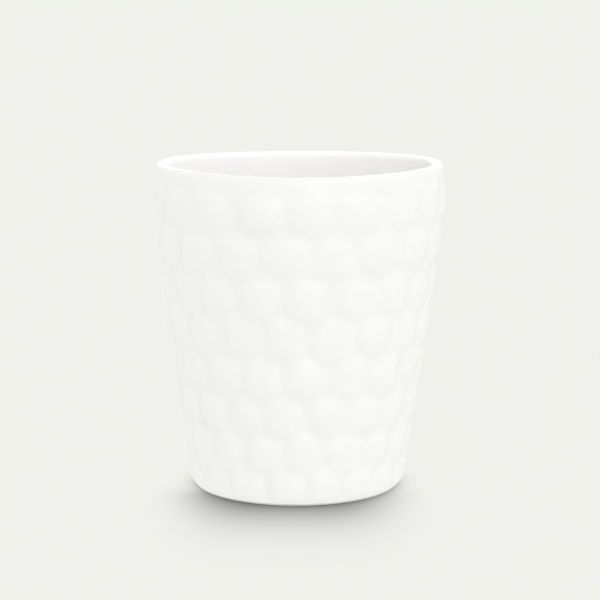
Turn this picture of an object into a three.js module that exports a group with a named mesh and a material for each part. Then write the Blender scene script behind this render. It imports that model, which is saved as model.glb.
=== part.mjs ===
// A pen holder cup: a one-piece glazed stoneware tumbler with a rolled lip and a pebbled wall.
//
// The cup is a single fired casting, so its meshes are regions of that casting. They meet on level
// planes: foot ring, floor, pebbled wall and lip, from the bottom to the top. Each region is a
// surface of revolution, and the pebble relief then moves the outer skin of the floor and the wall.
import * as THREE from "three";

// Driving dimensions, in millimetres. +Z is up, and the origin is the centre of the standing circle.
const CUP_HEIGHT = 100;
const FOOT_HEIGHT = 0.5;
const FOOT_OUTER_RADIUS = 31.2;
const FOOT_WIDTH = 2.6;
const FOOT_EDGE_ROUND = 0.2;
const CORNER_RADIUS = 0.9;
const FLOOR_TOP = 5.6;
const COVE_RADIUS = 4;
const WALL_THICKNESS = 3.4;
const LIP_PLANE = 96.4;

// The plain wall under the pebbles: a slightly bulging cone that turns upright below the lip.
const CONE_BASE_RADIUS = 32;
const CONE_SLOPE = 0.135;
const CONE_BULGE = 0.35;
const LIP_OUTER_RADIUS = 44;
const LIP_BLEND = 0.5;

// The pebbles: level rows, each set half a pebble round from the row below.
const ROW_COUNT = 8;
const PEBBLES_PER_ROW = 18;
const FIRST_ROW_HEIGHT = 4.6;
const FIRST_ROW_PITCH = 11.3;
const ROW_PITCH_GROWTH = 0.105;
const FIRST_PEBBLE_DEGREES = 14;
const PEBBLE_HALF_WIDTH_SHARE = 0.445;
const PEBBLE_HALF_HEIGHT = 6.2;
const PEBBLE_DEPTH = 1.3;
const PEBBLE_SQUARENESS = 2.7;
const FULL_RELIEF_HEIGHT = 3;

// Each pebble's own place, size and depth differ from the regular ones by up to these amounts. The
// shift round the cup is a share of the spacing, and the sizes and the depth are shares of their own.
const TURN_SHIFT = 0.07;
const RISE_SHIFT = 0.7;
const WIDTH_VARIATION = 0.1;
const HEIGHT_VARIATION = 0.08;
const DEPTH_VARIATION = 0.2;

// The variation's pattern. The strides keep neighbouring pebbles' numbers unlike each other.
const PATTERN_SEED = 12.21;
const ROW_STRIDE = 12.9898;
const PLACE_STRIDE = 78.233;
const PROPERTY_STRIDE = 37.719;
const SCATTER = 43758.5453;
const PROPERTY = { turn: 1, rise: 2, width: 3, height: 4, depth: 5 };

// One pebble in the top row stands prouder than its neighbours.
const PROUD_ROW = 7;
const PROUD_PLACE = 16;
const PROUD_SHARE = 1.35;

// How finely the curved surfaces are divided, and the least height of a wall's end bands.
const FACETS_PER_PEBBLE = 6;
const BANDS_PER_ROW = 4;
const FOOT_FACETS = 72;
const LIP_SEGMENTS = 8;
const COVE_SEGMENTS = 3;
const CORNER_SEGMENTS = 3;
const EDGE_SEGMENTS = 2;
const END_BAND_HEIGHT = 1;

const GLAZE = { color: 0xf6f5f1, roughness: 0.22, metalness: 0 };
const BARE_CLAY = { color: 0xe6dfd2, roughness: 0.85, metalness: 0 };

const FULL_TURN = 2 * Math.PI;
const QUARTER_TURN = Math.PI / 2;
const CUP_FACETS = PEBBLES_PER_ROW * FACETS_PER_PEBBLE;
const FIRST_PEBBLE_ANGLE = THREE.MathUtils.degToRad(FIRST_PEBBLE_DEGREES);
const CORNER_TOP = FOOT_HEIGHT + CORNER_RADIUS;

// The cove meets the floor at this angle, so that the wall's foot has no feather edge.
const COVE_MEETS_FLOOR = THREE.MathUtils.degToRad(32);

// The radius of the plain outer wall at a height: the smaller of the cone's and the lip's, blended.
function plainRadius(height) {
  const share = height / CUP_HEIGHT;
  const cone = CONE_BASE_RADIUS + CONE_SLOPE * height + 4 * CONE_BULGE * share * (1 - share);
  const inset = Math.log1p(Math.exp((LIP_OUTER_RADIUS - cone) / LIP_BLEND));
  return LIP_OUTER_RADIUS - LIP_BLEND * inset;
}

function innerRadius(height) {
  return plainRadius(height) - WALL_THICKNESS;
}

// The height of a row's middle. Rows count from 0 at the bottom, and half rows lie between them.
function rowHeight(row) {
  return FIRST_ROW_HEIGHT + FIRST_ROW_PITCH * row + ROW_PITCH_GROWTH * row * row;
}

// A repeatable number between -1 and 1 for one property of one pebble.
function variation(row, place, property) {
  const stride = ROW_STRIDE * (row + 1) + PLACE_STRIDE * (place + 1) + PROPERTY_STRIDE * property;
  const wave = Math.sin(stride + PATTERN_SEED) * SCATTER;
  return 2 * (wave - Math.floor(wave)) - 1;
}

// Angles are measured from the front of the cup, which faces -Y, towards +X.
function makePebble(row, place) {
  const spacing = FULL_TURN / PEBBLES_PER_ROW;
  const offset = FIRST_PEBBLE_ANGLE + (row % 2) * (spacing / 2);
  const halfAngle = spacing * PEBBLE_HALF_WIDTH_SHARE;
  const proud = row === PROUD_ROW && place === PROUD_PLACE;
  const depth = PEBBLE_DEPTH * (proud ? PROUD_SHARE : 1);
  return {
    angle: offset + spacing * (place + TURN_SHIFT * variation(row, place, PROPERTY.turn)),
    height: rowHeight(row) + RISE_SHIFT * variation(row, place, PROPERTY.rise),
    halfAngle: halfAngle * (1 + WIDTH_VARIATION * variation(row, place, PROPERTY.width)),
    halfHeight: PEBBLE_HALF_HEIGHT * (1 + HEIGHT_VARIATION * variation(row, place, PROPERTY.height)),
    depth: depth * (1 + DEPTH_VARIATION * variation(row, place, PROPERTY.depth)),
  };
}

const pebbles = [];
for (let row = 0; row < ROW_COUNT; row++) {
  for (let place = 0; place < PEBBLES_PER_ROW; place++) pebbles.push(makePebble(row, place));
}

// How far the pebbles stand out of the plain wall at a point. They sink into the bottom corner.
function reliefAt(angle, height) {
  let relief = 0;
  for (const pebble of pebbles) {
    const up = Math.abs(height - pebble.height) / pebble.halfHeight;
    const turn = angle - pebble.angle;
    const across = Math.abs(turn - FULL_TURN * Math.round(turn / FULL_TURN)) / pebble.halfAngle;
    const reach = across ** PEBBLE_SQUARENESS + up ** PEBBLE_SQUARENESS;
    if (reach < 1) relief = Math.max(relief, pebble.depth * Math.sqrt(1 - reach));
  }
  return relief * THREE.MathUtils.smoothstep(height, FOOT_HEIGHT, FULL_RELIEF_HEIGHT);
}

// Points of an arc in the plane of radius and height. Angles run from outwards to upwards.
function arcPoints(centreRadius, centreHeight, arcRadius, fromAngle, toAngle, segments) {
  const points = [];
  for (let i = 0; i <= segments; i++) {
    const angle = fromAngle + ((toAngle - fromAngle) * i) / segments;
    const radius = centreRadius + arcRadius * Math.cos(angle);
    points.push(new THREE.Vector2(radius, centreHeight + arcRadius * Math.sin(angle)));
  }
  return points;
}

// Points up the plain outer wall, with the same number of bands on each row of pebbles.
function outerWallPoints(fromHeight, toHeight) {
  const points = [new THREE.Vector2(plainRadius(fromHeight), fromHeight)];
  for (let band = 1; band < ROW_COUNT * BANDS_PER_ROW; band++) {
    const height = rowHeight(band / BANDS_PER_ROW - 0.5);
    const inside = height > fromHeight + END_BAND_HEIGHT && height < toHeight - END_BAND_HEIGHT;
    if (inside) points.push(new THREE.Vector2(plainRadius(height), height));
  }
  points.push(new THREE.Vector2(plainRadius(toHeight), toHeight));
  return points;
}

// A mesh turned about +Z from a profile that runs up its outer side. A profile that doesn't start
// and end on the axis repeats its first point.
function turnedMesh(name, profile, finish, facets) {
  const geometry = new THREE.LatheGeometry(profile, facets, FIRST_PEBBLE_ANGLE);
  geometry.rotateX(QUARTER_TURN);
  const mesh = new THREE.Mesh(geometry, new THREE.MeshStandardMaterial(finish));
  mesh.name = name;
  return mesh;
}

// Moves the outer skin of a mesh out by the pebble relief.
function raisePebbles(mesh) {
  const position = mesh.geometry.getAttribute("position");
  for (let i = 0; i < position.count; i++) {
    const x = position.getX(i);
    const y = position.getY(i);
    const height = position.getZ(i);
    const radius = Math.hypot(x, y);
    if (radius < plainRadius(height) - WALL_THICKNESS / 2) continue;
    const scale = 1 + reliefAt(Math.atan2(x, -y), height) / radius;
    position.setXYZ(i, x * scale, y * scale, height);
  }
  mesh.geometry.computeVertexNormals();
  return mesh;
}

// The bare ring that the cup stands on. Its underside is flat between two rounded edges.
function makeFootRing() {
  const round = FOOT_EDGE_ROUND;
  const inner = FOOT_OUTER_RADIUS - FOOT_WIDTH;
  const start = new THREE.Vector2(inner, FOOT_HEIGHT);
  const profile = [
    start,
    ...arcPoints(inner + round, round, round, -2 * QUARTER_TURN, -QUARTER_TURN, EDGE_SEGMENTS),
    ...arcPoints(FOOT_OUTER_RADIUS - round, round, round, -QUARTER_TURN, 0, EDGE_SEGMENTS),
    new THREE.Vector2(FOOT_OUTER_RADIUS, FOOT_HEIGHT),
    start,
  ];
  return turnedMesh("foot_ring", profile, BARE_CLAY, FOOT_FACETS);
}

// The floor disc, with the rounded bottom corner and the lower half of the first row of pebbles.
function makeFloor() {
  const centre = plainRadius(CORNER_TOP) - CORNER_RADIUS;
  const profile = [
    new THREE.Vector2(0, FOOT_HEIGHT),
    ...arcPoints(centre, CORNER_TOP, CORNER_RADIUS, -QUARTER_TURN, 0, CORNER_SEGMENTS),
    new THREE.Vector2(plainRadius(FLOOR_TOP), FLOOR_TOP),
    new THREE.Vector2(0, FLOOR_TOP),
  ];
  return raisePebbles(turnedMesh("cup_floor", profile, GLAZE, CUP_FACETS));
}

// The tapered wall. Its inside runs down to the floor through a cove.
function makeWall() {
  const coveHeight = FLOOR_TOP + COVE_RADIUS * Math.cos(COVE_MEETS_FLOOR);
  const coveCentre = innerRadius(coveHeight) - COVE_RADIUS;
  const coveEnd = COVE_MEETS_FLOOR - QUARTER_TURN;
  const outside = outerWallPoints(FLOOR_TOP, LIP_PLANE);
  const profile = [
    ...outside,
    new THREE.Vector2(innerRadius(LIP_PLANE), LIP_PLANE),
    ...arcPoints(coveCentre, coveHeight, COVE_RADIUS, 0, coveEnd, COVE_SEGMENTS),
    outside[0],
  ];
  return raisePebbles(turnedMesh("cup_wall", profile, GLAZE, CUP_FACETS));
}

// The smooth lip, rolled over at the top.
function makeLip() {
  const rollRadius = WALL_THICKNESS / 2;
  const rollHeight = CUP_HEIGHT - rollRadius;
  const rollCentre = plainRadius(rollHeight) - rollRadius;
  const start = new THREE.Vector2(plainRadius(LIP_PLANE), LIP_PLANE);
  const profile = [
    start,
    ...arcPoints(rollCentre, rollHeight, rollRadius, 0, 2 * QUARTER_TURN, LIP_SEGMENTS),
    new THREE.Vector2(innerRadius(LIP_PLANE), LIP_PLANE),
    start,
  ];
  return turnedMesh("cup_lip", profile, GLAZE, CUP_FACETS);
}

const cup = new THREE.Group();
cup.add(makeFootRing(), makeFloor(), makeWall(), makeLip());

export default cup;
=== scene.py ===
"""A white pebbled pen cup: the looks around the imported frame. All lengths are in metres.

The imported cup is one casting, in four regions. Here its three glazed regions become one continuous
glazed body with a fine pebble relief, and its bare foot becomes a ring of dry clay.
"""

import math

import bpy
import numpy as np
from mathutils import Matrix, Vector


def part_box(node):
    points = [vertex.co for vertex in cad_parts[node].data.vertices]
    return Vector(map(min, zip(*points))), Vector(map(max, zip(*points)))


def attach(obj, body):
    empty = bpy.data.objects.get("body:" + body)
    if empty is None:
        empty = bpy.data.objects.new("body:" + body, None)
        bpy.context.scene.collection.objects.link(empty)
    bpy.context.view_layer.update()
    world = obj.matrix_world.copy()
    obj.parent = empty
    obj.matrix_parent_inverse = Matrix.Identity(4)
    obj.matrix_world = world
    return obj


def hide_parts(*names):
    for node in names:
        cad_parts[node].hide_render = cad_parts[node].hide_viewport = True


MM = 0.001
FULL_TURN = 2 * math.pi
QUARTER_TURN = math.pi / 2

# ---------------------------------------------------------------- the frame

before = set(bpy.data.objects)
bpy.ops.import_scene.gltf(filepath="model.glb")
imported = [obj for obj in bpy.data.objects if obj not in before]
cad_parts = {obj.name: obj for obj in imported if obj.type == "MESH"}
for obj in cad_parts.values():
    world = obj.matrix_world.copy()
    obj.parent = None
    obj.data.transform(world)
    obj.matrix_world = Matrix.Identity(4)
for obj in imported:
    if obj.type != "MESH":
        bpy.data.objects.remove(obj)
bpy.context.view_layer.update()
LIP_LOW, LIP_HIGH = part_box("cup_lip")
FLOOR_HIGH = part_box("cup_floor")[1]
FOOT_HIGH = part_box("foot_ring")[1]

# ---------------------------------------------------------------- the cup's sizes

CUP_TOP = LIP_HIGH.z
PEBBLES_END = LIP_LOW.z
FLOOR_TOP = FLOOR_HIGH.z
FOOT_TOP = FOOT_HIGH.z
FOOT_RADIUS = FOOT_HIGH.x

WALL_THICKNESS = 3.4 * MM
LIP_OUTER_RADIUS = 44 * MM
CONE_BASE_RADIUS = 32 * MM
CONE_SLOPE = 0.135
CONE_BULGE = 0.35 * MM
LIP_BLEND = 0.5 * MM
CORNER_RADIUS = 0.9 * MM
COVE_RADIUS = 4 * MM
FOOT_WIDTH = 2.6 * MM
FOOT_EDGE_ROUND = 0.2 * MM
UNDERSIDE_RISE = 0.25 * MM
UNDERSIDE_STEEPNESS = 4

# The pebbles, as in the frame: level rows, each set half a pebble round from the row below.
ROW_COUNT = 8
PEBBLES_PER_ROW = 18
FIRST_ROW_HEIGHT = 4.6 * MM
FIRST_ROW_PITCH = 11.3 * MM
ROW_PITCH_GROWTH = 0.105 * MM
FIRST_PEBBLE_ANGLE = math.radians(14)
PEBBLE_HALF_WIDTH_SHARE = 0.445
PEBBLE_HALF_HEIGHT = 6.2 * MM
PEBBLE_DEPTH = 1.3 * MM
PEBBLE_SQUARENESS = 2.7
FULL_RELIEF_HEIGHT = 3 * MM
TURN_SHIFT = 0.07
RISE_SHIFT = 0.7 * MM
WIDTH_VARIATION = 0.1
HEIGHT_VARIATION = 0.08
DEPTH_VARIATION = 0.2
PROUD_ROW = 7
PROUD_PLACE = 16
PROUD_SHARE = 1.35

# Large unlike factors, so that the sine of a pebble's row, place and property is a repeatable
# number that looks random.
PATTERN_SEED = 12.21
ROW_FACTOR = 12.9898
PLACE_FACTOR = 78.233
PROPERTY_FACTOR = 37.719
SINE_FACTOR = 43758.5453
PROPERTY_COUNT = 5

# What hand work and the glaze do to the pebbles: waves bend their outlines, and the glaze rounds the
# valleys over its own thickness.
OUTLINE_BEND = 0.6 * MM
GLAZE_SOFTENING = 1.1 * MM

# A main wave and a weaker one each: how many go round the cup, the rise up the wall for each radian of
# phase, and the phase at the start.
SIDEWAYS_WAVES = ((11, 2.7 * MM, 0), (23, -1.5 * MM, 1.3))
UPWARD_WAVES = ((13, -2.2 * MM, 0.7), (19, 1.3 * MM, 2.1))
WEAK_WAVE_SHARE = 0.6

# The clay keeps a slight unevenness at two scales: the lumps' lengths and heights, and how far below
# the lip they begin to fade.
LUMPS = ((5.0 * MM, 0.1 * MM), (2.0 * MM, 0.025 * MM))
LUMP_FADE = 2 * MM
LUMP_SEED = 5

# The cup leans a little to the right, and its lip rises at the two sides.
LEAN = 1.06 * MM
LIP_RISE = 0.8 * MM
LIP_RISE_START = 0.7
LIP_RISE_STEEPNESS = 2

# How finely the surfaces are divided. The shares are of the radius, for the level rings round a pole.
FACETS_PER_PEBBLE = 21
FACETS_ROUND = PEBBLES_PER_ROW * FACETS_PER_PEBBLE
BANDS_PER_ROW = 21
CORNER_SEGMENTS = 10
LIP_SEGMENTS = 18
INSIDE_BANDS = 26
COVE_SEGMENTS = 10
UNDERSIDE_SHARES = (0.04, 0.2, 0.4, 0.6, 0.8, 0.92, 1)
FLOOR_SHARES = (0.75, 0.5, 0.25, 0.04)
FOOT_FACETS = 240
FOOT_EDGE_SEGMENTS = 5

# The share of a pebble's depth that the glaze is coloured for, where there are no pebbles.
PLAIN_CREST = 0.5


def plain_radius(height):
    """The outer wall's radius without its pebbles: the cone's or the lip's, whichever is smaller.

    The cone's bulge is highest halfway up, and a soft blend joins the two.
    """
    share = height / CUP_TOP
    cone = CONE_BASE_RADIUS + CONE_SLOPE * height + 4 * CONE_BULGE * share * (1 - share)
    return LIP_OUTER_RADIUS - LIP_BLEND * math.log1p(math.exp((LIP_OUTER_RADIUS - cone) / LIP_BLEND))


def inner_radius(height):
    return plain_radius(height) - WALL_THICKNESS


def row_height(row):
    """The height of a row's middle."""
    return FIRST_ROW_HEIGHT + FIRST_ROW_PITCH * row + ROW_PITCH_GROWTH * row * row


def smoothstep(value, low, high):
    share = np.clip((value - low) / (high - low), 0, 1)
    return share * share * (3 - 2 * share)


# ---------------------------------------------------------------- the pebble relief


def variations(row, place):
    """Repeatable numbers between -1 and 1, one for each property of one pebble."""
    numbers = []
    for prop in range(1, PROPERTY_COUNT + 1):
        phase = ROW_FACTOR * (row + 1) + PLACE_FACTOR * (place + 1) + PROPERTY_FACTOR * prop + PATTERN_SEED
        wave = math.sin(phase) * SINE_FACTOR
        numbers.append(2 * (wave - math.floor(wave)) - 1)
    return numbers


def make_pebble(row, place):
    """One pebble's angle, height, half angle, half height and depth."""
    turn, rise, width, height, depth = variations(row, place)
    spacing = FULL_TURN / PEBBLES_PER_ROW
    offset = FIRST_PEBBLE_ANGLE + (row % 2) * spacing / 2
    proud = row == PROUD_ROW and place == PROUD_PLACE
    full_depth = PEBBLE_DEPTH * (PROUD_SHARE if proud else 1)
    return (
        offset + spacing * (place + TURN_SHIFT * turn),
        row_height(row) + RISE_SHIFT * rise,
        spacing * PEBBLE_HALF_WIDTH_SHARE * (1 + WIDTH_VARIATION * width),
        PEBBLE_HALF_HEIGHT * (1 + HEIGHT_VARIATION * height),
        full_depth * (1 + DEPTH_VARIATION * depth),
    )


def wave_pair(turn, rise, waves):
    """A main wave and a weaker one, at most one high together, which close round the cup."""
    main, weak = (np.sin(count * turn + rise / length + phase) for count, length, phase in waves)
    return (main + WEAK_WAVE_SHARE * weak) / (1 + WEAK_WAVE_SHARE)


def bend_outlines(turn, rise):
    """Shift the grid's angles and heights a little, so that no pebble's outline is quite regular."""
    swing = OUTLINE_BEND * wave_pair(turn, rise, SIDEWAYS_WAVES)
    lift = OUTLINE_BEND * wave_pair(turn, rise, UPWARD_WAVES)
    return turn + swing / plain_radius(CUP_TOP / 2), rise + lift


def blurred(grid, row_sigma, column_sigma):
    """A Gaussian blur. The grid's columns close round the cup, and its rows mirror at both ends."""
    mirrored = np.vstack([grid, grid[::-1]])
    rows = np.fft.fftfreq(mirrored.shape[0])[:, None] * row_sigma
    columns = np.fft.fftfreq(mirrored.shape[1])[None, :] * column_sigma
    gain = np.exp(-2 * math.pi**2 * (rows**2 + columns**2))
    return np.fft.ifft2(np.fft.fft2(mirrored) * gain).real[: len(grid)]


def softened(grid, heights, length):
    """The grid blurred over a length on the wall."""
    band = (heights[-1] - heights[0]) / (len(heights) - 1)
    facet = FULL_TURN * plain_radius(CUP_TOP / 2) / grid.shape[1]
    return blurred(grid, length / band, length / facet)


def pebble_relief(angles, heights):
    """How far the glazed pebbles stand out of the plain wall, on a grid of heights by angles."""
    turn, rise = bend_outlines(*np.meshgrid(angles, heights))
    relief = np.zeros_like(turn)
    for row in range(ROW_COUNT):
        for place in range(PEBBLES_PER_ROW):
            angle, height, half_angle, half_height, depth = make_pebble(row, place)
            away = turn - angle
            away -= FULL_TURN * np.round(away / FULL_TURN)
            reach = np.abs(away / half_angle) ** PEBBLE_SQUARENESS
            reach += np.abs((rise - height) / half_height) ** PEBBLE_SQUARENESS
            relief = np.maximum(relief, depth * np.sqrt(np.clip(1 - reach, 0, 1)))
    return softened(relief, heights, GLAZE_SOFTENING)


def clay_lumps(heights, count):
    """The slight unevenness of the clay under the glaze. A lump is twice as long as its blur."""
    random = np.random.default_rng(LUMP_SEED)
    lumps = np.zeros((len(heights), count))
    for length, height in LUMPS:
        layer = softened(random.normal(size=lumps.shape), heights, length / 2)
        lumps += height * layer / layer.std()
    return lumps


# ---------------------------------------------------------------- mesh building


def arc_points(centre_radius, centre_height, radius, start, end, segments):
    """Points of an arc in the plane of radius and height. Angles run from outwards to upwards."""
    points = []
    for i in range(segments + 1):
        angle = start + (end - start) * i / segments
        points.append((centre_radius + radius * math.cos(angle), centre_height + radius * math.sin(angle)))
    return points


def turned_vertices(radii, heights, angles):
    """Grid vertices, ring by ring. Angles are measured from the front, which faces -Y, towards +X."""
    x = radii * np.sin(angles)[None, :]
    y = -radii * np.cos(angles)[None, :]
    return np.stack([x, y, heights], axis=-1).reshape(-1, 3)


def ring_faces(rings, facets, closed):
    """Quads between each ring and the next, facing out of a profile that runs up its outer side."""
    faces = []
    for ring in range(rings if closed else rings - 1):
        low = ring * facets
        high = (ring + 1) % rings * facets
        for i in range(facets):
            j = (i + 1) % facets
            faces.append((low + i, low + j, high + j, high + i))
    return faces


def make_piece(name, vertices, faces, material):
    mesh = bpy.data.meshes.new(name)
    mesh.from_pydata(vertices.tolist(), [], faces)
    mesh.update()
    mesh.polygons.foreach_set("use_smooth", [True] * len(mesh.polygons))
    mesh.materials.append(material)
    piece = bpy.data.objects.new(name, mesh)
    bpy.context.scene.collection.objects.link(piece)
    return piece


def add_attribute(piece, name, values):
    attribute = piece.data.attributes.new(name, "FLOAT", "POINT")
    attribute.data.foreach_set("value", np.asarray(values, np.float32))


# ---------------------------------------------------------------- the glazed body


def wall_heights():
    """Heights up the outer wall, from the bottom corner to where the pebbles end."""
    return np.linspace(FOOT_TOP + CORNER_RADIUS, PEBBLES_END, ROW_COUNT * BANDS_PER_ROW)


def underside_points():
    """The underside rises a little to its middle, inside the foot ring."""
    foot_inner = FOOT_RADIUS - FOOT_WIDTH
    points = []
    for share in UNDERSIDE_SHARES:
        rise = UNDERSIDE_RISE * (1 - share**UNDERSIDE_STEEPNESS)
        points.append((foot_inner * share, FOOT_TOP + rise))
    return points


def outside_points():
    """Round the bottom corner and up the outer wall, without its pebbles."""
    corner_top = FOOT_TOP + CORNER_RADIUS
    centre = plain_radius(corner_top) - CORNER_RADIUS
    corner = arc_points(centre, corner_top, CORNER_RADIUS, -QUARTER_TURN, 0, CORNER_SEGMENTS)
    return corner[:-1] + [(plain_radius(z), z) for z in wall_heights()]


def lip_points():
    """Over the round lip, from its outer side to its inner side."""
    roll_radius = WALL_THICKNESS / 2
    roll_height = CUP_TOP - roll_radius
    roll_centre = plain_radius(roll_height) - roll_radius
    return arc_points(roll_centre, roll_height, roll_radius, 0, 2 * QUARTER_TURN, LIP_SEGMENTS)


def inside_points():
    """Down the plain inner wall, round the cove and in to the middle of the floor."""
    top = CUP_TOP - WALL_THICKNESS / 2
    cove_top = FLOOR_TOP + COVE_RADIUS
    heights = np.linspace(top, cove_top, INSIDE_BANDS)[1:-1]
    centre = inner_radius(cove_top) - COVE_RADIUS
    cove = arc_points(centre, cove_top, COVE_RADIUS, 0, -QUARTER_TURN, COVE_SEGMENTS)
    floor = [(centre * share, FLOOR_TOP) for share in FLOOR_SHARES]
    return [(inner_radius(z), z) for z in heights] + cove + floor


def make_cup_body(material):
    """One closed mesh: the underside, the pebbled outside, the rolled lip and the plain inside."""
    underside = underside_points()
    outside = outside_points()
    profile = np.array(underside + outside + lip_points() + inside_points())
    angles = np.arange(FACETS_ROUND) * FULL_TURN / FACETS_ROUND
    outer = slice(len(underside), len(underside) + len(outside))

    relief = np.zeros((len(profile), FACETS_ROUND))
    outer_heights = profile[outer, 1]
    fade = smoothstep(outer_heights, FOOT_TOP, FULL_RELIEF_HEIGHT)[:, None]
    pebbles = pebble_relief(angles, outer_heights) * fade
    lip_fade = 1 - smoothstep(outer_heights, PEBBLES_END - LUMP_FADE, PEBBLES_END)[:, None]
    relief[outer] = pebbles + clay_lumps(outer_heights, FACETS_ROUND) * fade * lip_fade

    share_up = profile[:, 1:] / CUP_TOP
    rise = np.clip((share_up - LIP_RISE_START) / (1 - LIP_RISE_START), 0, 1) ** LIP_RISE_STEEPNESS
    heights = profile[:, 1:] + LIP_RISE * rise * np.sin(angles)[None, :] ** 2
    vertices = turned_vertices(profile[:, :1] + relief, heights, angles)
    vertices[:, 0] += LEAN * vertices[:, 2] / CUP_TOP

    rings = len(profile)
    lean_at_floor = LEAN * FLOOR_TOP / CUP_TOP
    poles = np.array([[0, 0, FOOT_TOP + UNDERSIDE_RISE], [lean_at_floor, 0, FLOOR_TOP]])
    first_pole = len(vertices)
    last_ring = (rings - 1) * FACETS_ROUND
    faces = ring_faces(rings, FACETS_ROUND, False)
    for i in range(FACETS_ROUND):
        j = (i + 1) % FACETS_ROUND
        faces.append((first_pole, j, i))
        faces.append((first_pole + 1, last_ring + i, last_ring + j))
    piece = make_piece("cup_body", np.vstack([vertices, poles]), faces, material)

    # The crest share tints the glaze: lighter on the crests, and darker in the valleys, partly with
    # painted shade.
    crest = np.full((rings, FACETS_ROUND), PLAIN_CREST)
    crest[outer] = np.clip(pebbles / PEBBLE_DEPTH, 0, 1)
    add_attribute(piece, "crest", np.append(crest.ravel(), [PLAIN_CREST, PLAIN_CREST]))
    return piece


# ---------------------------------------------------------------- the bare foot


def make_foot(material):
    """The dry clay ring under the glaze, flat underneath between two rounded edges."""
    edge = FOOT_EDGE_ROUND
    inner = FOOT_RADIUS - FOOT_WIDTH
    profile = [(inner, FOOT_TOP)]
    profile += arc_points(inner + edge, edge, edge, -2 * QUARTER_TURN, -QUARTER_TURN, FOOT_EDGE_SEGMENTS)
    profile += arc_points(FOOT_RADIUS - edge, edge, edge, -QUARTER_TURN, 0, FOOT_EDGE_SEGMENTS)
    profile += [(FOOT_RADIUS, FOOT_TOP), ((inner + FOOT_RADIUS) / 2, FOOT_TOP)]
    profile = np.array(profile)
    angles = np.arange(FOOT_FACETS) * FULL_TURN / FOOT_FACETS
    radii = np.repeat(profile[:, :1], FOOT_FACETS, axis=1)
    heights = np.repeat(profile[:, 1:], FOOT_FACETS, axis=1)
    faces = ring_faces(len(profile), FOOT_FACETS, True)
    return make_piece("cup_foot", turned_vertices(radii, heights, angles), faces, material)


# ---------------------------------------------------------------- materials

# The glaze: its colour in the valleys, where it lies thick under painted shade, on the thin crests, and in
# its faint clouds. The crest's limits are shares of a pebble's depth, and every pattern's scale is in
# features to the metre.
VALLEY_GLAZE_AND_SHADE = (0.956, 0.952, 0.949)
THIN_GLAZE = (0.962, 0.957, 0.953)
CLOUDED_GLAZE = (0.954, 0.949, 0.942)
CREST_LIMITS = (0.15, 0.95)
CLOUD_SCALE = 55
CLOUD_LIMITS = (0.35, 0.65)
CLOUD_SHARE = 0.35
RIPPLE_SCALE = 420
RIPPLE_HEIGHT = 0.03 * MM
FINE_SCALE = 2600
FINE_HEIGHT = 0.004 * MM
GLAZE_FINISH = {
    "Roughness": 0.3,
    "IOR": 1.5,
    "Subsurface Weight": 0.3,
    "Subsurface Radius": (1.0, 0.9, 0.75),
    "Subsurface Scale": 2 * MM,
    "Coat Weight": 0.2,
    "Coat Roughness": 0.12,
}

# The clay: its grain's two tones and its specks.
DARK_CLAY = (0.62, 0.6, 0.56)
LIGHT_CLAY = (0.75, 0.73, 0.69)
SPECK_COLOUR = (0.33, 0.3, 0.26)
GRAIN_SCALE = 1500
GRAIN_DETAIL = 6
GRAIN_COARSENESS = 0.6
GRAIN_TONE_LIMITS = (0.35, 0.65)
GRAIN_ROUGHNESS_LIMITS = (0.3, 0.7)
CLAY_ROUGHNESS = (0.78, 0.95)
GRAIN_HEIGHT = 0.06 * MM
SPECK_SCALE = 2400
SPECK_LIMITS = (0.66, 0.74)
SPECK_SHARE = 0.6

# The mix node's sockets have the same names for each kind of data, so the colour ones go by number.
MIX_FIRST_COLOUR = 6
MIX_SECOND_COLOUR = 7
MIX_RESULT_COLOUR = 2


def new_material(name):
    """A material with its node tree and its shader."""
    material = bpy.data.materials.new(name)
    material.use_nodes = True
    tree = material.node_tree
    return material, tree, tree.nodes["Principled BSDF"]


def add_noise(tree, scale, detail, roughness=0.5):
    """A noise pattern fixed to the piece. The scale is in features to the metre."""
    place = tree.nodes.new("ShaderNodeTexCoord")
    noise = tree.nodes.new("ShaderNodeTexNoise")
    noise.inputs["Scale"].default_value = scale
    noise.inputs["Detail"].default_value = detail
    noise.inputs["Roughness"].default_value = roughness
    tree.links.new(place.outputs["Object"], noise.inputs["Vector"])
    return noise.outputs["Fac"]


def add_range(tree, value, limits, results):
    """The value between its two limits, carried over to between two results."""
    node = tree.nodes.new("ShaderNodeMapRange")
    tree.links.new(value, node.inputs["Value"])
    for name, number in zip(("From Min", "From Max", "To Min", "To Max"), (*limits, *results)):
        node.inputs[name].default_value = number
    return node.outputs["Result"]


def add_mix(tree, factor, first, second):
    """A colour between two others, each a colour or another node's output."""
    node = tree.nodes.new("ShaderNodeMix")
    node.data_type = "RGBA"
    tree.links.new(factor, node.inputs["Factor"])
    for index, colour in ((MIX_FIRST_COLOUR, first), (MIX_SECOND_COLOUR, second)):
        if isinstance(colour, tuple):
            node.inputs[index].default_value = (*colour, 1)
        else:
            tree.links.new(colour, node.inputs[index])
    return node.outputs[MIX_RESULT_COLOUR]


def add_math(tree, operation, first, second=None):
    """A sum or the like of one or two values, each a number or another node's output."""
    node = tree.nodes.new("ShaderNodeMath")
    node.operation = operation
    for socket, value in zip(node.inputs, (first, second)):
        if isinstance(value, (int, float)):
            socket.default_value = value
        elif value is not None:
            tree.links.new(value, socket)
    return node.outputs["Value"]


def add_bump(tree, height, distance, normal=None):
    """A relief of the given height in metres, over another relief if there is one."""
    node = tree.nodes.new("ShaderNodeBump")
    node.inputs["Distance"].default_value = distance
    node.inputs["Strength"].default_value = 1
    tree.links.new(height, node.inputs["Height"])
    if normal is not None:
        tree.links.new(normal, node.inputs["Normal"])
    return node.outputs["Normal"]


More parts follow.
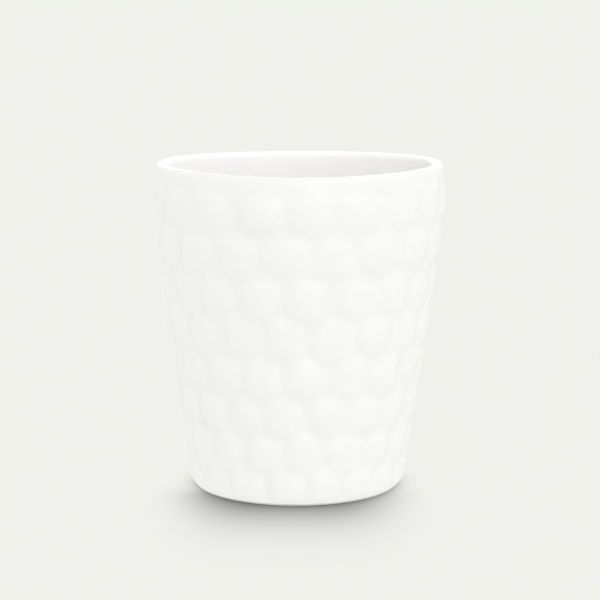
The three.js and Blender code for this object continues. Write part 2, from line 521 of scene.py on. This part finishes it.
def white_glaze():
    """A soft-gloss white glaze: thicker, cooler and darker with painted shade in the valleys, thinner and
    warmer on the crests.
    """
    material, tree, shader = new_material("white_glaze")
    crest = tree.nodes.new("ShaderNodeAttribute")
    crest.attribute_name = "crest"
    crest_share = add_range(tree, crest.outputs["Fac"], CREST_LIMITS, (0, 1))
    # Painted shade: the valleys' colour is darker than the crests', beside the glaze's own thickness.
    by_thickness_and_shade = add_mix(tree, crest_share, VALLEY_GLAZE_AND_SHADE, THIN_GLAZE)
    clouds = add_range(tree, add_noise(tree, CLOUD_SCALE, detail=3), CLOUD_LIMITS, (0, CLOUD_SHARE))
    colour = add_mix(tree, clouds, by_thickness_and_shade, CLOUDED_GLAZE)
    tree.links.new(colour, shader.inputs["Base Color"])
    ripple = add_bump(tree, add_noise(tree, RIPPLE_SCALE, detail=2), RIPPLE_HEIGHT)
    fine = add_bump(tree, add_noise(tree, FINE_SCALE, detail=2), FINE_HEIGHT, ripple)
    tree.links.new(fine, shader.inputs["Normal"])
    for name, value in GLAZE_FINISH.items():
        shader.inputs[name].default_value = value
    return material


def bare_clay():
    """Dry fired clay: pale, matte and finely grained, with a few darker specks."""
    material, tree, shader = new_material("bare_clay")
    grain = add_noise(tree, GRAIN_SCALE, GRAIN_DETAIL, GRAIN_COARSENESS)
    tone = add_mix(tree, add_range(tree, grain, GRAIN_TONE_LIMITS, (0, 1)), DARK_CLAY, LIGHT_CLAY)
    specks = add_range(tree, add_noise(tree, SPECK_SCALE, detail=2), SPECK_LIMITS, (0, SPECK_SHARE))
    tree.links.new(add_mix(tree, specks, tone, SPECK_COLOUR), shader.inputs["Base Color"])
    roughness = add_range(tree, grain, GRAIN_ROUGHNESS_LIMITS, CLAY_ROUGHNESS)
    tree.links.new(roughness, shader.inputs["Roughness"])
    tree.links.new(add_bump(tree, grain, GRAIN_HEIGHT), shader.inputs["Normal"])
    return material


# ---------------------------------------------------------------- the studio

# The floor is so wide, in metres, that no view reaches its edge.
BACKGROUND = (0.871, 0.880, 0.839)
WHITE = (1, 1, 1)
FILL_STRENGTH = 1
ZENITH_DIMMING = 0.2
FLOOR_SIZE = 60

# The painted soft shadow in front of the cup, and the painted dark line where the cup meets the floor.
SHADOW_MIDDLE_X = -2.1 * MM
SHADOW_MIDDLE_Y = -17.9 * MM
SHADOW_SIDE_REACH = 28.3 * MM
SHADOW_FRONT_REACH = 27.4 * MM
SHADOW_BACK_REACH = 8.4 * MM
SHADOW_SIDE_STEEPNESS = 3.5
SHADOW_FRONT_STEEPNESS = 1.5
SHADOW_DEPTH = 0.95
CONTACT_SHADOW_DEPTH = 0.5
CONTACT_SHADOW_REACH = 1.8 * MM

# The small lamp over the right of the lip lights the left of the inner wall.
LAMP_PLACE = (28 * MM, -4 * MM, 126 * MM)
LAMP_TARGET = (-34 * MM, 6 * MM, 104 * MM)
LAMP_RADIUS = 20 * MM
LAMP_RADIANCE = 1.4

# The lens and the sensor are in millimetres, as the camera takes them.
CAMERA_DISTANCE = 641.8 * MM
CAMERA_HEIGHT = 162 * MM
CAMERA_SIDE = LEAN
CAMERA_PITCH = math.radians(9.246)
CAMERA_LENS = 125.64
CAMERA_SENSOR = 36
CAMERA_NEAREST = 10 * MM
CAMERA_FURTHEST = 200


def add_fading(tree, distance, depth):
    """One, less a depth that fades away exponentially with a distance."""
    fading = add_math(tree, "EXPONENT", add_math(tree, "MULTIPLY", distance, -1))
    return add_math(tree, "SUBTRACT", 1, add_math(tree, "MULTIPLY", fading, depth))


def add_painted_shadow(tree):
    """The share of light left on the floor under its painted shadow: the shadow in front, and the dark
    line along the foot.
    """
    place = tree.nodes.new("ShaderNodeTexCoord")
    split = tree.nodes.new("ShaderNodeSeparateXYZ")
    tree.links.new(place.outputs["Object"], split.inputs["Vector"])
    x, y = split.outputs["X"], split.outputs["Y"]

    aside = add_math(tree, "ABSOLUTE", add_math(tree, "SUBTRACT", x, SHADOW_MIDDLE_X))
    aside = add_math(tree, "DIVIDE", aside, SHADOW_SIDE_REACH)
    ahead = add_math(tree, "SUBTRACT", SHADOW_MIDDLE_Y, y)
    front = add_math(tree, "DIVIDE", ahead, SHADOW_FRONT_REACH)
    back = add_math(tree, "DIVIDE", ahead, -SHADOW_BACK_REACH)
    along = add_math(tree, "POWER", add_math(tree, "MAXIMUM", front, back), SHADOW_FRONT_STEEPNESS)
    distance = add_math(tree, "ADD", add_math(tree, "POWER", aside, SHADOW_SIDE_STEEPNESS), along)
    # Painted shadow: the floor's glow fades in front of the cup.
    shadow = add_fading(tree, distance, SHADOW_DEPTH)

    squares = add_math(tree, "ADD", add_math(tree, "MULTIPLY", x, x), add_math(tree, "MULTIPLY", y, y))
    gap = add_math(tree, "SUBTRACT", add_math(tree, "SQRT", squares), FOOT_RADIUS)
    gap = add_math(tree, "DIVIDE", add_math(tree, "MAXIMUM", gap, 0), CONTACT_SHADOW_REACH)
    # Painted contact shadow: a dark line along the foot.
    return add_math(tree, "MULTIPLY", shadow, add_fading(tree, gap, CONTACT_SHADOW_DEPTH))


def make_floor():
    """A seamless glowing floor, as even as a light table, with the cup's soft shadow painted on it.

    Only the camera sees the shadow. The cup gets the whole glow.
    """
    material, tree, shader = new_material("studio_floor")
    path = tree.nodes.new("ShaderNodeLightPath")
    unseen = add_math(tree, "SUBTRACT", 1, path.outputs["Is Camera Ray"])
    # The camera sees the glow dimmed by the painted shadow.
    light_left = add_math(tree, "MAXIMUM", unseen, add_painted_shadow(tree))
    glow = tree.nodes.new("ShaderNodeEmission")
    glow.inputs["Color"].default_value = (*BACKGROUND, 1)
    tree.links.new(light_left, glow.inputs["Strength"])
    tree.nodes.remove(shader)
    tree.links.new(glow.outputs["Emission"], tree.nodes["Material Output"].inputs["Surface"])
    material.cycles.emission_sampling = "NONE"
    half = FLOOR_SIZE / 2
    corners = np.array([[-half, -half, 0], [half, -half, 0], [half, half, 0], [-half, half, 0]])
    floor = make_piece("studio_floor", corners, [(0, 1, 2, 3)], material)


def make_world():
    """A white fill that is dimmest overhead.

    The camera sees the floor's own tone instead of it, so no horizon shows.
    """
    world = bpy.data.worlds.new("studio")
    world.use_nodes = True
    tree = world.node_tree
    fill = tree.nodes["Background"]
    fill.inputs["Color"].default_value = (*WHITE, 1)
    place = tree.nodes.new("ShaderNodeTexCoord")
    split = tree.nodes.new("ShaderNodeSeparateXYZ")
    tree.links.new(place.outputs["Generated"], split.inputs["Vector"])
    steepness = add_math(tree, "MULTIPLY", split.outputs["Z"], split.outputs["Z"])
    at_zenith = FILL_STRENGTH * (1 - ZENITH_DIMMING)
    strength = add_range(tree, steepness, (0, 1), (FILL_STRENGTH, at_zenith))
    tree.links.new(strength, fill.inputs["Strength"])
    seen = tree.nodes.new("ShaderNodeBackground")
    seen.inputs["Color"].default_value = (*BACKGROUND, 1)
    path = tree.nodes.new("ShaderNodeLightPath")
    mix = tree.nodes.new("ShaderNodeMixShader")
    camera_share, for_light, for_camera = mix.inputs
    tree.links.new(path.outputs["Is Camera Ray"], camera_share)
    tree.links.new(fill.outputs["Background"], for_light)
    tree.links.new(seen.outputs["Background"], for_camera)
    tree.links.new(mix.outputs["Shader"], tree.nodes["World Output"].inputs["Surface"])
    bpy.context.scene.world = world


def shining_from(direction):
    """The turn of a light, which shines along its own -Z, so that it shines from a direction."""
    return direction.to_track_quat("Z", "Y").to_matrix().to_4x4()


def make_sun(name, azimuth, elevation, strength, size, lit):
    """A soft distant light on some pieces only. Azimuth 0 is the front, and it grows to the right."""
    light = bpy.data.lights.new(name, "SUN")
    light.energy = strength
    light.angle = math.radians(size)
    sun = bpy.data.objects.new(name, light)
    turn, rise = math.radians(azimuth), math.radians(elevation)
    source = Vector((math.sin(turn) * math.cos(rise), -math.cos(turn) * math.cos(rise), math.sin(rise)))
    sun.matrix_world = shining_from(source)
    bpy.context.scene.collection.objects.link(sun)
    group = bpy.data.collections.new(name + "_lights")
    for piece in lit:
        group.objects.link(piece)
    sun.light_linking.receiver_collection = group


def make_lamp():
    """A small disc light that the camera doesn't see."""
    light = bpy.data.lights.new("inside_lamp", "AREA")
    light.shape = "DISK"
    light.size = 2 * LAMP_RADIUS
    disc_area = math.pi * LAMP_RADIUS**2
    light.energy = math.pi * LAMP_RADIANCE * disc_area
    lamp = bpy.data.objects.new("inside_lamp", light)
    direction = Vector(LAMP_PLACE) - Vector(LAMP_TARGET)
    lamp.matrix_world = Matrix.Translation(LAMP_PLACE) @ shining_from(direction)
    lamp.visible_camera = False
    bpy.context.scene.collection.objects.link(lamp)


def make_camera():
    data = bpy.data.cameras.new("camera")
    data.lens = CAMERA_LENS
    data.sensor_width = CAMERA_SENSOR
    data.clip_start = CAMERA_NEAREST
    data.clip_end = CAMERA_FURTHEST
    camera = bpy.data.objects.new("camera", data)
    place = Matrix.Translation((CAMERA_SIDE, -CAMERA_DISTANCE, CAMERA_HEIGHT))
    tilt = Matrix.Rotation(QUARTER_TURN - CAMERA_PITCH, 4, "X")
    camera.matrix_world = place @ tilt
    bpy.context.scene.collection.objects.link(camera)
    bpy.context.scene.camera = camera


def set_colours():
    view = bpy.context.scene.view_settings
    view.view_transform = "Standard"
    view.look = "None"
    view.exposure = 0
    view.gamma = 1


# ---------------------------------------------------------------- the whole scene

make_camera()
set_colours()

body = make_cup_body(white_glaze())
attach(body, "root")
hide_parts("cup_lip", "cup_wall", "cup_floor")

foot = make_foot(bare_clay())
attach(foot, "root")
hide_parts("foot_ring")

make_floor()
make_world()
cup = [body, foot]
make_sun("key", azimuth=42, elevation=38, strength=0.27, size=45, lit=cup)
make_sun("front_box", azimuth=15, elevation=10, strength=0.1, size=25, lit=cup)
make_sun("back_box", azimuth=180, elevation=15, strength=0.2, size=40, lit=cup)
make_lamp()
